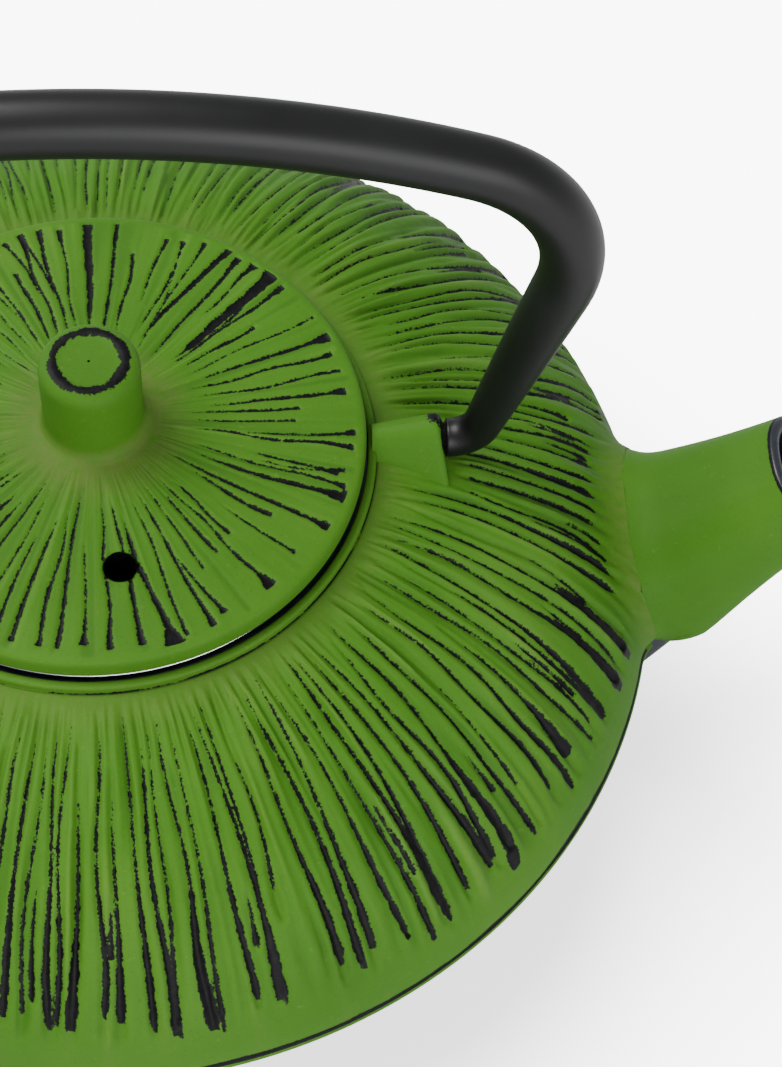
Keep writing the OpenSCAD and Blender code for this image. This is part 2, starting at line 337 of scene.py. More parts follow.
def d_spout(p, shrink=0.0):
    v = p - SP_O
    s = v @ SP_D
    q = v - s[:, None] * SP_D
    up = q @ np.cross(SP_D, np.array([0.0, 1.0, 0.0]))
    rho = (np.abs(q[:, 1]) ** SP_N + np.abs(up / SP_Q) ** SP_N) ** (1 / SP_N)
    cone = (rho - spout_r(s)) * math.cos(SP_T)
    ball = np.hypot(rho, s - 2) - (SP_R - 2 * math.tan(SP_T)) * math.cos(SP_T)
    squash = np.sqrt(q[:, 1] ** 2 + up ** 2) / np.maximum(rho, 1)
    return np.where(s > 2, cone, ball) * np.where(rho > 1, squash, 1.0) + shrink


BLEND = 7.0


def both(p):
    a, b = d_body(p), d_spout(p)
    h = np.maximum(BLEND - np.abs(a - b), 0) / BLEND
    return np.minimum(a, b) - h * h * BLEND * 0.25


def settle(p, target):
    """Moves points along the gradient until the blended distance is the target."""
    p = p.copy()
    e = 0.02
    for _ in range(9):
        f = both(p)
        g = np.stack([both(p + step) - both(p - step) for step in np.eye(3) * e], -1) / (2 * e)
        g2 = np.maximum((g * g).sum(1), 0.2)
        p -= (np.clip(f - target, -2.5, 2.5) / g2)[:, None] * g
    return p


# ---------------------------------------------------------------- pot body
def dome_pts(r0, r1, z0, z1, n=90):
    a = np.linspace(0, np.pi / 2, n)
    t = np.sin(a) ** (2 / DOME_P)
    return np.stack([r0 + (r1 - r0) * t, z1 + (z0 - z1) * np.cos(a) ** (2 / DOME_P)], -1)


def bowl_pts(r0, r1, z0, z1, n=90):
    h = np.linspace(0, 1, n)
    t = 1 - BOWL_S * h - (1 - BOWL_S) * h ** 3
    return np.stack([r0 + (r1 - r0) * t, z1 - (z1 - z0) * h], -1)


def stroke_field(theta, u, rad, strokes, default=-1.5):
    """Signed distance to the nearest stroke, positive inside, on a grid of columns theta and rows u."""
    out = np.full((len(u), len(theta)), default)
    n = len(theta)
    for s in strokes:
        rows = np.where((u > s["a"] - 2.5) & (u < s["b"] + 2.5))[0]
        if not len(rows):
            continue
        uu = u[rows]
        t = (uu - s["a"]) / (s["b"] - s["a"])
        c = s["th"] + s["lean"] * t + s["wob"] * np.sin(s["ph"] + s["fr"] * uu) / rad[rows]
        half = np.interp(t, s["wt"], s["wv"])
        half = half * (1 + 0.09 * np.sin(s["ph"] * 3 + uu * 1.3) + 0.05 * np.sin(s["ph"] * 7 + uu * 3.1))
        span = (half.max() + 2.2) / rad[rows].min()
        j0 = int(math.floor((c.min() - span) / (2 * np.pi) * n))
        j1 = int(math.ceil((c.max() + span) / (2 * np.pi) * n)) + 1
        cols = np.arange(j0, j1)
        d = np.abs(cols[None, :] * (2 * np.pi / n) - c[:, None]) * rad[rows][:, None]
        sd = half[:, None] - d
        end = np.minimum((uu - s["a"]) * s["ea"], (s["b"] - uu) * s["eb"])[:, None]
        sd = np.minimum(sd, end)
        cw = cols % n
        out[np.ix_(rows, cw)] = np.maximum(out[np.ix_(rows, cw)], sd)
    return out


def make_stroke(th, a, b, w, fat=0.0, lean=0.0):
    grow = rng.uniform(0.9, 1.5)
    return {
        "th": th, "a": a, "b": b, "lean": lean,
        "wob": rng.uniform(0.1, 0.45), "ph": rng.uniform(0, 6.28), "fr": rng.uniform(0.12, 0.3),
        "wt": [0.0, 0.12, 0.5, 0.75, 0.95, 1.0],
        "wv": [
            0.05, 0.55 * w, 0.8 * w,
            grow * w + fat * 0.6, 1.15 * grow * w + fat, 0.8 * w + fat * 0.8],
        "ea": rng.uniform(0.15, 0.5), "eb": rng.uniform(0.6, 1.6),
    }


COLS = 1260
dome = resample(dome_pts(COL_R, BODY_R, SH_Z, EQ_Z), 0.34)
u_dome = np.concatenate([[0], np.cumsum(np.linalg.norm(np.diff(dome, axis=0), axis=1))])
L = u_dome[-1]
theta = np.linspace(0, 2 * np.pi, COLS, endpoint=False)

grooves, inks = [], []
LANES = 164
th = 0.0
gaps = rng.uniform(0.72, 1.28, LANES)
gaps *= 2 * np.pi / gaps.sum()
for i in range(LANES):
    th += gaps[i]
    lean = rng.normal(0.0, 0.012)
    kind = rng.random()
    # Strokes, and their grooves, are narrower on the far half (+y): less black there paints the paler far
    # side, standing in for the sheen of the light from behind and the blur with distance.
    w = rng.uniform(0.29, 0.49) * (1 - 0.28 * max(0.0, math.sin(th)))
    g = make_stroke(th, rng.uniform(1.5, 7), rng.uniform(L - 11, L - 6.5), w * 1.15, 0.0, lean)
    if kind < 0.70:
        a, b = rng.uniform(3.5, 9), rng.uniform(L - 12, L - 6.8)
        k = make_stroke(th, a, b, w, rng.choice([0.0, 0.0, 0.15, 0.6], p=[0.35, 0.33, 0.26, 0.06]), lean)
    elif kind < 0.84:
        a, b = rng.uniform(14, 26), rng.uniform(L - 14, L - 8.5)
        k = make_stroke(th, a, b, w, rng.choice([0.0, 0.35]), lean)
        g["a"] = a - rng.uniform(3, 10)
    elif kind < 0.94:
        a, b = rng.uniform(5, 14), rng.uniform(24, 36)
        k = make_stroke(th, a, b, w * 0.9, 0.0, lean)
        g["b"] = b + rng.uniform(3, 12)
    else:
        a, b = rng.uniform(20, 30), rng.uniform(34, L - 16)
        k = make_stroke(th, a, b, w * 0.75, 0.0, lean)
    for key in ("wob", "ph", "fr"):
        k[key] = g[key]
    k["lean"] = lean * (k["b"] - k["a"]) / (g["b"] - g["a"])
    k["th"] = g["th"] + g["lean"] * (k["a"] - g["a"]) / (g["b"] - g["a"])
    grooves.append(g)
    inks.append(k)
    if rng.random() < 0.22:
        a = rng.uniform(26, 33)
        e = make_stroke(th + gaps[i] * 0.5, a, rng.uniform(a + 6, L - 14), 0.4, 0.0, 0)
        grooves.append(e)
        inks.append(e)

sd_g = stroke_field(theta, u_dome, dome[:, 0], grooves)
sd_i = stroke_field(theta, u_dome, dome[:, 0], inks)


def streaks(n_cols, rows, seed, knots):
    """Fine lengthwise combing: random values round the ring, drifting slowly along the rows."""
    r = np.random.default_rng(seed)
    out = np.zeros((rows, n_cols))
    for k, amp in knots:
        drift = np.cumsum(r.normal(0, 0.02, rows))
        base = [r.normal(0, 1, k) for _ in range(5)]
        x = np.linspace(0, k, n_cols, endpoint=False)[None, :] + drift[:, None]
        blend = np.linspace(0, 4, rows)[:, None]
        i0 = np.floor(x).astype(int)
        f = x - i0
        f = f * f * (3 - 2 * f)
        b0 = np.minimum(np.floor(blend).astype(int), 3)
        fb = blend - b0
        arr = np.stack(base)
        v0 = arr[b0, i0 % k] * (1 - f) + arr[b0, (i0 + 1) % k] * f
        v1 = arr[b0 + 1, i0 % k] * (1 - f) + arr[b0 + 1, (i0 + 1) % k] * f
        out += amp * (v0 * (1 - fb) + v1 * fb)
    return out


comb = streaks(COLS, len(u_dome), 5, [(560, 0.55), (330, 0.55), (170, 0.35)])
fade = smooth(0.5, 6.0, u_dome) * (1 - smooth(L - 11.0, L - 5.0, u_dome))
base = around(dome[:, 0], dome[:, 1], theta)
flat = base.reshape(-1, 3)
clear = smooth(2.0, 9.0, d_spout(flat)).reshape(base.shape[:2])
lug_d = np.maximum(np.abs(base[..., 1]) - 6.0, np.abs(base[..., 0]) - 55.0)
clear *= np.where(np.abs(base[..., 0]) > 40, smooth(-1.0, 2.5, lug_d), 1.0)
tang = np.gradient(dome, axis=0)
tang /= np.linalg.norm(tang, axis=1)[:, None]
nrm = around(-tang[:, 1], tang[:, 0], theta)
groove = smooth(-0.55, 0.5, sd_g)
depth = (-0.6 * groove + 0.18 * (1 - groove) * (0.6 + comb) + 0.13 * comb) * fade[:, None] * clear
depth += 0.07 * comb * smooth(0, 4, u_dome)[:, None] * (0.35 + 0.65 * fade[:, None])
pos = base + nrm * depth[..., None]
ink = np.minimum(sd_i, 1.5) - 1.6 * (1 - clear)
# rib is the comb height; the green material paints it as highlight on the crests and shade in the troughs
rib = np.clip(comb * 0.6, -1, 1) * (0.35 + 0.65 * fade[:, None]) * (0.3 + 0.7 * clear)

# seam bead, bowl and base below the widest line
seam = [
    [BODY_R, 40.0], [BODY_R + 0.02, 39.8], [BODY_R + 0.4, 39.5], [BODY_R + 0.5, 39.0],
    [BODY_R + 0.35, 38.5], [BODY_R - 0.35, 37.9], [BODY_R - 1.9, 37.0]]
foot = [
    [BASE_R - 1.5, 0.0], [BASE_R - 4, 0.0], [BASE_R - 5.5, 1.0], [BASE_R - 9, 1.2],
    [20, 1.2], [0.5, 1.2]]
bowl = bowl_pts(BASE_R, BODY_R, 0, EQ_Z)
bowl = bowl[bowl[:, 1] < 36.6]
low = np.concatenate([
    resample(np.array(seam), 0.25)[1:],
    resample(np.concatenate([bowl, foot]), 1.5)])
comb_low = np.random.default_rng(9).normal(0, 1, COLS)
low3 = around(low[:, 0], low[:, 1], theta)

# collar, from the recess wall out to the foot of the dome
col = np.array([
    [SEAT_R, SEAT_Z], [SEAT_R, 74.05], [SEAT_R + 0.25, 74.28], [42.25, COL_Z],
    [42.55, 74.15], [42.7, 73.8], [42.68, 73.1], [42.75, 72.78], [43.0, 72.7]])
col = resample(col, 0.22)
col3 = around(col[:, 0], col[:, 1], theta)
wear = np.interp(theta, np.linspace(0, 2 * np.pi, 60), rng.normal(0, 1, 60))
line = 0.32 - np.abs(col[:, 1:2] - 72.95) * 1.1 - np.abs(col[:, :1] - 42.8) * 0.6 + 0.16 * wear[None, :]
edge_ink = np.where(col[:, :1] < SEAT_R + 0.12, 1.0, np.minimum(line, 0.5))
seam_wear = np.interp(theta, np.linspace(0, 2 * np.pi, 90), rng.normal(0, 1, 90))
low_z = low[:, 1:2]
ink_low = np.where(low_z > 39.6, 0.45 + 0.25 * seam_wear[None, :], -1.0) + 0 * low_z
foot_wear = 0.25 - np.abs(low[:, :1] - (BASE_R - 1)) * 0.18
ink_low = np.maximum(ink_low, np.where(low_z < 1.2, foot_wear, -1.0))
top_wear = 0.45 - (L - u_dome)[:, None] * 1.3 + 0.35 * seam_wear[None, :]
ink = np.maximum(ink, top_wear)

verts = np.concatenate([col3, pos, low3]).reshape(-1, 3)
rows = len(col) + len(dome) + len(low)
ink_all = np.concatenate([edge_ink + 0 * theta[None, :], ink, ink_low + 0 * theta[None, :]]).ravel()
# on the bowl the same painted highlight and shade come in random streaks round the ring, with no relief
# under them
rib_low = np.repeat(0.25 * comb_low[None, :], len(low), 0)
rib_all = np.concatenate([np.zeros((len(col), COLS)), rib, rib_low]).ravel()
db = d_spout(verts)
ink_all = np.where((db < 3.0) & (verts[:, 2] < 42), np.minimum(ink_all, -0.6), ink_all)
dust_d = 0.35 * (1 - smooth(1.0, 9.0, u_dome))[:, None]
dust_d = dust_d + 0.55 * (1 - smooth(0.5, 7.0, d_spout(flat))).reshape(base.shape[:2])
dust_all = np.concatenate([
    np.full((len(col), COLS), 0.15),
    dust_d + 0.12 * np.clip(comb, 0, 2),
    np.zeros((len(low), COLS))]).ravel()
faces = quads(rows, COLS)
# the skin near the spout moves on to the blended surface of body and spout
near = (db < BLEND) & (verts[:, 2] < 72)
verts[near] = settle(verts[near], np.clip(d_body(verts[near]), -0.8, 0.8))
keep = (db[faces] > -1.6).all(1) | (verts[faces][:, :, 2] > 72).any(1)
v2, f2, at = drop_unused(verts, faces[keep], {"ink": ink_all, "rib": rib_all, "dust": dust_all})
pot = add_mesh("pot_shell", v2, f2, [M_GREEN], attrs=at)

# spout: outer skin, rounded lip and channel
PH = 160
phi = np.linspace(0, 2 * np.pi, PH, endpoint=False)
e1 = np.array([0.0, 1.0, 0.0])
e2 = np.cross(SP_D, e1)


def ring_pt(s, r):
    """Points of the spout at axis distance s and radius r, one per angle."""
    r = r / (np.abs(np.cos(phi)) ** SP_N + np.abs(np.sin(phi)) ** SP_N) ** (1 / SP_N)
    across = (r * np.cos(phi))[:, None] * e1
    return SP_O + s[:, None] * SP_D + across + (SP_Q * r * np.sin(phi))[:, None] * e2


def cut_s(shrink, lift=0.0):
    """Axis distance at which each side line meets the slanted mouth."""
    s = np.full(PH, SP_L)
    for _ in range(30):
        p = ring_pt(s, spout_r(s) - shrink)
        s = s - ((p - CUT_P) @ CUT_N - lift) / (SP_D @ CUT_N)
    return s


LIP = 2.4
OUTER = 70
so, si = cut_s(0.0, -0.9), cut_s(LIP, -0.9)
rings, tag = [], []
# outer skin, from inside the body up to the mouth
for k in range(OUTER):
    t = k / (OUTER - 1)
    s = -6 + (so + 6) * t
    round_end = np.sqrt(np.maximum(spout_r(2.0) ** 2 - np.minimum(s - 2, 0) ** 2 * 1.1, 4))
    rings.append(ring_pt(s, np.where(s > 2, spout_r(s), round_end)))
    tag.append(0)
# rounded lip
mid_o, mid_i = ring_pt(so, spout_r(so)), ring_pt(si, spout_r(si) - LIP)
for k in range(1, 10):
    a = np.pi * k / 10
    c = (mid_o + mid_i) / 2
    d = (mid_o - mid_i) / 2
    rings.append(c + d * math.cos(a) + CUT_N * (1.1 * math.sin(a)))
    tag.append(0 if k < 2 else 1)
# channel back down into the body
for k in range(28):
    t = k / 27
    s = si + (-12 - si) * t
    rings.append(ring_pt(s, spout_r(s) - LIP))
    tag.append(1)
sv = np.stack(rings)
sp = sv[:OUTER].reshape(-1, 3)
dbs = d_body(sp)
close = dbs < BLEND
sp[close] = settle(sp[close], -0.07 * (1 - smooth(0.0, 2.5, dbs[close])))
sv[:OUTER] = sp.reshape(OUTER, PH, 3)
sf = quads(len(rings), PH)[:, ::-1]
tags = np.repeat(np.array(tag[:-1]), PH)
d_all = np.concatenate([dbs, np.full((len(rings) - OUTER) * PH, 50.0)])
keep = (d_all[sf] > -1.2).all(1)
in_cut = d_body(sv.reshape(-1, 3))
inner_rows = np.repeat(np.arange(len(rings) - 1) >= OUTER, PH)
keep &= ~(inner_rows & (in_cut[sf] < -6.0).any(1))
# this draw only keeps the order of the random numbers after it
rng.normal(0, 0.3, len(rings) * PH)
s_ink = np.full((len(rings), PH), -1.0)
s_ink[OUTER - 2] = -0.6
s_ink[OUTER - 1] = -0.25
s_ink[OUTER:OUTER + 2] = 0.35
s_attr = {"ink": s_ink.ravel(), "rib": np.zeros(len(rings) * PH)}
sv2, sf2, sat = drop_unused(sv.reshape(-1, 3), sf[keep], s_attr)
spout = add_mesh("spout_casting", sv2, sf2, [M_GREEN, M_ENAMEL], idx=tags[keep], attrs=sat)

# inside of the pot
ins = np.concatenate([
    [[SEAT_R, SEAT_Z], [MOUTH_R + 0.5, SEAT_Z], [MOUTH_R + 0.1, SEAT_Z - 0.3],
     [MOUTH_R, SEAT_Z - 0.8], [MOUTH_R, 70.2], [MOUTH_R + 0.4, 69.8]],
    dome_pts(COL_R, BODY_R - WALL, LEDGE_Z, EQ_Z, 40),
    bowl_pts(BASE_R - WALL, BODY_R - WALL, WALL, EQ_Z, 40)[1:],
    [[0.3, WALL]]])
ins = resample(ins, 1.6)
iv = revolve(ins, 240)
jf = quads(len(ins), 240)
di = d_spout(iv, LIP)
jf = jf[(di[jf] > 0.0).any(1) | (iv[jf][:, :, 0] < 60).any(1)]
inside = add_mesh("pot_lining", iv, jf, [M_ENAMEL])


# ---------------------------------------------------------------- lugs
HOLE_R = 2.62


def hole_pts(x, angles, lean=True):
    """Points round the pin hole at x; on the sloping face they lean with it."""
    sin = np.sin(angles)
    xs = x - (0.2 * (sin * HOLE_R + 0.4) if lean else 0.0 * sin)
    return np.stack([xs, np.cos(angles) * HOLE_R, HINGE_Z + sin * HOLE_R], -1)


def lug(side):
    """A cast block with a sloping near and far side, holed for the hinge pin."""
    sec = np.array([
        [-8.4, -6.0], [-7.4, -4.2], [-6.2, -2.4], [-4.7, -0.2], [-3.3, 1.9],
        [-1.9, 3.7], [-0.7, 4.5], [0.6, 4.7], [1.9, 4.2], [3.0, 2.6],
        [3.9, 0.2], [4.8, -3.0], [5.4, -6.0]])
    sec = resample(sec, 0.45)
    xs = np.concatenate([[41.9], np.linspace(42.4, 52.0, 22), [52.5, 52.8, 52.95, 53.0]])
    inset = np.concatenate([[0.0], np.zeros(22), [0.12, 0.35, 0.7, 1.1]])
    n = len(sec)
    vs, fs = [], []
    c = np.array([0.0, -0.4])
    for x, k in zip(xs, inset):
        q = c + (sec - c) * (1 - k / np.linalg.norm(sec - c, axis=1))[:, None]
        t = np.clip((x - 42.0) / 11.0, 0, 1)
        q[:, 0] *= np.where(q[:, 0] < 0, 0.58 + 0.44 * t, 0.72 + 0.26 * t)
        q[:, 1] = np.where(q[:, 1] > -1, (q[:, 1] + 1) * (0.52 + 0.48 * t) - 1, q[:, 1])
        vs += [[x - 0.2 * t * (z + 0.4), y, HINGE_Z + z] for y, z in q]
    for i in range(len(xs) - 1):
        for j in range(n - 1):
            fs.append([i * n + j, i * n + j + 1, (i + 1) * n + j + 1, (i + 1) * n + j])
    # end face, from the outline in to the hole
    last = (len(xs) - 1) * n
    start = len(vs)
    p = np.array(vs[last:last + n])
    ang = np.arctan2(p[:, 2] - HINGE_Z, p[:, 1])
    for k in range(1, 6):
        t = k / 5
        vs += (p * (1 - t) + hole_pts(53.0, ang) * t).tolist()
        o = start + (k - 2) * n if k > 1 else last
        for j in range(n - 1):
            fs.append([o + j, o + j + 1, start + (k - 1) * n + j + 1, start + (k - 1) * n + j])
    # end face below the hole
    m = 14
    arc = np.linspace(ang[0], ang[-1] - 2 * np.pi, m)
    b = len(vs)
    vs += hole_pts(53.0, arc).tolist()
    bl = p[0] + (p[-1] - p[0]) * np.linspace(0, 1, m)[:, None]
    c0 = len(vs)
    vs += bl.tolist()
    for j in range(m - 1):
        fs.append([b + j, b + j + 1, c0 + j + 1, c0 + j])
    # wall of the hole
    sides = 48
    full = np.linspace(0, 2 * np.pi, sides, endpoint=False)
    d0 = len(vs)
    for x in (53.0, 52.7, 50.0, 48.5):
        vs += hole_pts(x, full, x > 52).tolist()
    for i in range(3):
        r0, r1 = d0 + i * sides, d0 + (i + 1) * sides
        for j in range(sides):
            jn = (j + 1) % sides
            fs.append([r0 + j, r0 + jn, r1 + jn, r1 + j])
    v = np.array(vs)
    dist = np.hypot(v[:, 1], v[:, 2] - HINGE_Z)
    near_hole = np.where(v[:, 0] > 51.5, 0.45 - (dist - HOLE_R) * 0.6, -1.0)
    worn = 0.62 - 0.36 * np.linalg.norm(v - [52.0, 0.9, HINGE_Z + 3.7], axis=1)
    ik = np.maximum(near_hole, worn)
    ik[d0:] = 1.0
    if side < 0:
        v[:, 0] *= -1
        fs = [f[::-1] for f in fs]
    name = "ear_front" if side > 0 else "ear_rear"
    return add_mesh(name, v, fs, [M_GREEN], attrs={"ink": ik, "rib": np.zeros(len(v))})


lugs = [lug(1), lug(-1)]

# ---------------------------------------------------------------- lid
prof = np.array([
    [0.2, 95.3], [3.9, 95.3], [4.5, 95.36], [4.9, 95.5], [5.6, 95.5], [6.5, 95.2],
    [7.1, 94.7], [7.4, 94.0], [7.5, 93.2], [7.5, 83.4], [7.65, 82.3], [8.1, 81.5],
    [9.0, 81.0], [10.5, 80.75], [14, 80.35], [20, 79.8], [28, 79.2], [36, 78.75],
    [39.6, 78.5], [40.45, 78.3], [40.85, 77.9], [41.0, 77.3], [41.0, 75.6],
    [40.85, 74.9], [40.4, 74.4], [39.7, 74.25], [36.2, 74.25], [35.8, 73.9],
    [35.6, 70.2], [35.1, 69.7], [33.8, 69.7], [33.4, 70.2], [33.2, 74.4],
    [30, 75.2], [14, 77.2], [0.2, 77.6]])
lp = resample(prof, 0.36)
LC = 900
lt = np.linspace(0, 2 * np.pi, LC, endpoint=False)
lrad = lp[:, 0]
top_rows = (lp[:, 1] > 78.2) & (lrad > 7.6) & (np.arange(len(lp)) < len(lp) // 2)
ls = []
NR = 70
gp = rng.uniform(0.7, 1.3, NR)
gp *= 2 * np.pi / gp.sum()
t0 = 0.0


def ray(th, a, b, w, end):
    """One stroke of the lid at angle th, from radius a to b, widened at its end."""
    return {
        "th": th, "a": a, "b": b, "lean": rng.normal(0, 0.01),
        "wob": rng.uniform(0.05, 0.3), "ph": rng.uniform(0, 6.28),
        "fr": rng.uniform(0.2, 0.5), "wt": [0, 0.15, 0.6, 0.88, 0.985, 1.0],
        "wv": [0.02, w * 0.7, w, w * 1.1 + end * 0.12, w * 1.2 + end, w + end],
        "ea": 0.3, "eb": 4.0}


def one_of(values, chances):
    """A random pick from values with the given chances."""
    return values[int(np.searchsorted(np.cumsum(chances), rng.random()))]


# the boldest rays: angle, turn, first and last radius, width, widening
WIDE = [
    (44.0, 2.5, 17, 39.8, 0.8, 0.55), (-76.0, 3.6, 18, 39.8, 0.42, 1.3),
    (92.6, -0.5, 18, 39.2, 0.62, 0.1), (-22.0, 2.2, 17, 39.6, 0.4, 0.75),
    (65.0, -7.0, 17, 39.6, 0.45, 0.1), (168.0, 2.0, 16, 39.5, 0.7, 0.4),
    (-132.0, -2.5, 17, 39.4, 0.6, 0.5), (-168.0, 1.5, 18, 39.0, 0.4, 0.9)]
for i in range(NR):
    t0 += gp[i]
    apart = [(math.degrees(t0) - w[0] - w[1] * 0.6 + 180) % 360 - 180 for w in WIDE]
    if any(abs(d) < 3.4 for d in apart):
        continue
    k = rng.random()
    w = rng.uniform(0.17, 0.32)
    if k < 0.62:
        a, b = rng.uniform(13.5, 18), rng.uniform(38.4, 39.7)
        ls.append(ray(t0, a, b, w, one_of((0.08, 0.35, 0.7), (0.45, 0.35, 0.2))))
    elif k < 0.76:
        ls.append(ray(t0, rng.uniform(14, 19), rng.uniform(28, 35), w, 0.0))
    elif k < 0.86:
        a, b = rng.uniform(20, 28), rng.uniform(36.5, 39.6)
        ls.append(ray(t0, a, b, w, one_of((0.15, 0.6), (0.5, 0.5))))
    else:
        a = rng.uniform(14, 17)
        m = rng.uniform(21, 28)
        q = ray(t0, a, 39.2, w, 0.3)
        q["lean"] = 0.0
        ls.append(q)
        q = ray(t0 + 0.01, m, rng.uniform(37, 39.4), w * 0.9, 0.3)
        q["lean"] = 0.06 * (39 - m) / 14
        ls.append(q)
for az, turn, ra, rb, w, end in WIDE:
    q = ray(math.radians(az), ra, rb, w, end)
    q["lean"] = math.radians(turn)
    q["wob"] = 0.15
    ls.append(q)
lsd = stroke_field(lt, lrad, np.maximum(lrad, 1.0), ls)
lsd[~top_rows] = -1.5
lcomb = streaks(LC, len(lp), 8, [(260, 0.5), (120, 0.5)])
tg = np.gradient(lp, axis=0)
tg /= np.linalg.norm(tg, axis=1)[:, None]
l3 = around(lp[:, 0], lp[:, 1], lt)
ln = around(-tg[:, 1], tg[:, 0], lt)
lf = (smooth(8.5, 13, lrad) * (1 - smooth(39.2, 40.4, lrad)) * top_rows)[:, None]
ld = (-0.3 * smooth(-0.4, 0.4, lsd) + 0.07 * lcomb) * lf
l3 = l3 + ln * ld[..., None]
l_ink = lsd.copy()
knob_ring = 0.55 - np.abs(lrad - 5.3) * 0.72
kw = np.interp(lt, np.linspace(0, 2 * np.pi, 24), rng.normal(0, 1, 24))
top = (lp[:, 1] > 94.9)[:, None]
l_ink = np.where(top, (knob_ring[:, None] + 0.09 * kw[None, :]), l_ink)
under = ((lp[:, 1] < 74.35) | (np.arange(len(lp)) > len(lp) * 0.62))[:, None]
l_ink = np.where(under, 1.0, l_ink)
lv = l3.reshape(-1, 3)
knob_foot = smooth(6.5, 8.5, lrad) * (1 - smooth(9.5, 17, lrad)) * (lp[:, 1] < 83)
ld_dust = np.repeat(knob_foot[:, None] * 0.8, LC, 1)
lfc = quads(len(lp), LC)[:, ::-1]
# vent hole: place and radius
VX, VY, VR = 4.0, -25.28, 2.5
vd = np.hypot(lv[:, 0] - VX, lv[:, 1] - VY)
high = lv[:, 2] > 73.9
hole_edge = (vd < VR + 0.38) & high
ux, uy = (lv[:, 0] - VX) / np.maximum(vd, 1e-6), (lv[:, 1] - VY) / np.maximum(vd, 1e-6)
lvn = lv.copy()
pull = hole_edge & (vd > VR - 0.4)
lvn[pull, 0] = VX + ux[pull] * VR
lvn[pull, 1] = VY + uy[pull] * VR
lvn[pull, 2] = lv[pull, 2] - np.where(lv[pull, 2] > 77.5, 0.15, -0.15)
keep = ~((vd < VR - 0.4) & high)[lfc].any(1)
# l_rib is the comb height of the lid; the green material paints it as highlight on the crests and shade in
# the troughs
l_rib = (np.clip(lcomb, -1, 1) * 0.8 * lf).ravel()
l_attr = {"ink": l_ink.ravel(), "rib": l_rib, "dust": ld_dust.ravel()}
lid_v, lid_f, lid_a = drop_unused(lvn, lfc[keep], l_attr)
lid = add_mesh("lid_casting", lid_v, lid_f, [M_GREEN], attrs=lid_a)
bore = revolve([[VR, 79.35], [VR, 78.6], [VR, 77.2], [VR, 75.2]], 64)
bore[:, 0] += VX
bore[:, 1] += VY
vent_attr = {"ink": np.full(len(bore), 1.0), "rib": np.zeros(len(bore))}
vent = add_mesh("lid_vent", bore, quads(4, 64), [M_GREEN], attrs=vent_attr)


# ---------------------------------------------------------------- bail
def bail_line():
    """Half the rod from the top of the bow to the end of its pin: x, height, radius."""
    H, RT, AT, RB, LE = 72.6, 160.0, math.radians(19.6), 22.0, math.radians(15.0)
    HR, HB, PR = 3.0, 5.5, 2.4
    bu, bv = (RT - RB) * math.sin(AT), H - RT + (RT - RB) * math.cos(AT)
    lu, lv_ = bu + RB * math.cos(LE), bv - RB * math.sin(LE)
    hv = HB * (1 - math.sin(LE))
    ll = (lv_ - hv) / math.cos(LE)
    hu = lu - ll * math.sin(LE)
    eu = hu - HB * math.cos(LE)
    pts = []
    for k in range(60):
        a = AT * k / 60
        pts.append((RT * math.sin(a), H - RT + RT * math.cos(a), 4.5))
    for k in range(44):
        a = math.pi / 2 - AT - (math.pi / 2 - AT + LE) * k / 44
        pts.append((bu + RB * math.cos(a), bv + RB * math.sin(a), 4.5 + 0.15 * math.sin(math.pi * k / 44)))
    for k in range(40):
        t = k / 40
        pts.append((lu + (hu - lu) * t, lv_ + (hv - lv_) * t, 4.5 + (HR - 4.5) * t ** 1.15))
    for k in range(18):
        a = -LE - (math.pi / 2 - LE) * k / 17
        pts.append((eu + HB * math.cos(a), HB + HB * math.sin(a), HR))
    pts.append((eu - 0.12, 0.0, HR * 0.985))
    pts.append((eu - 0.25, 0.0, PR))
    for k in range(1, 6):
        pts.append((eu - 0.25 - 6.6 * k / 5, 0.0, PR if k < 5 else PR * 0.8))
    return pts


def sweep(pts, sides):
    """A round rod along a line in the XZ plane."""
    q = np.array(pts)
    c = q[:, :2]
    tan = np.gradient(c, axis=0)
    tan /= np.linalg.norm(tan, axis=1)[:, None]
    nor = np.stack([-tan[:, 1], tan[:, 0]], -1)
    a = np.linspace(0, 2 * np.pi, sides, endpoint=False)
    v = np.zeros((len(q), sides, 3))
    v[..., 0] = c[:, :1] + nor[:, :1] * q[:, 2:3] * np.cos(a)
    v[..., 2] = c[:, 1:] + nor[:, 1:] * q[:, 2:3] * np.cos(a)
    v[..., 1] = q[:, 2:3] * np.sin(a)
    return v.reshape(-1, 3)


half = bail_line()
line_pts = [(-u, v, r) for u, v, r in half[:0:-1]] + half
line_pts = [(u, v + HINGE_Z, r) for u, v, r in line_pts]
SIDES = 56
bv = sweep(line_pts, SIDES)
nb = len(line_pts)
bf = quads(nb, SIDES).tolist()
bf.append(list(range(SIDES))[::-1])
bf.append([(nb - 1) * SIDES + k for k in range(SIDES)])
bail = add_mesh("bail_rod", bv, bf, [M_SATIN])

# ---------------------------------------------------------------- tea basket
# radius of the basket wall and top of its flange
BR, FT = 37.0, 73.9
rim_p = np.array([
    [BR - 0.6, FT - 8.4], [BR - 0.6, FT - 1.2], [BR - 0.5, FT - 0.35], [BR, FT],
    [BR + 0.6, FT], [39.6, FT], [40.1, FT - 0.05], [40.35, FT - 0.25],
    [40.3, FT - 0.5], [40.0, FT - 0.6], [BR + 0.8, FT - 0.6],
    [BR + 0.15, FT - 0.85], [BR, FT - 1.4], [BR, FT - 8.4]])
rim_p = resample(rim_p, 0.18)
rv = revolve(np.concatenate([rim_p, rim_p[:1]]), 240)
rim = add_mesh("basket_rim", rv, quads(len(rim_p) + 1, 240)[:, ::-1], [M_STEEL])

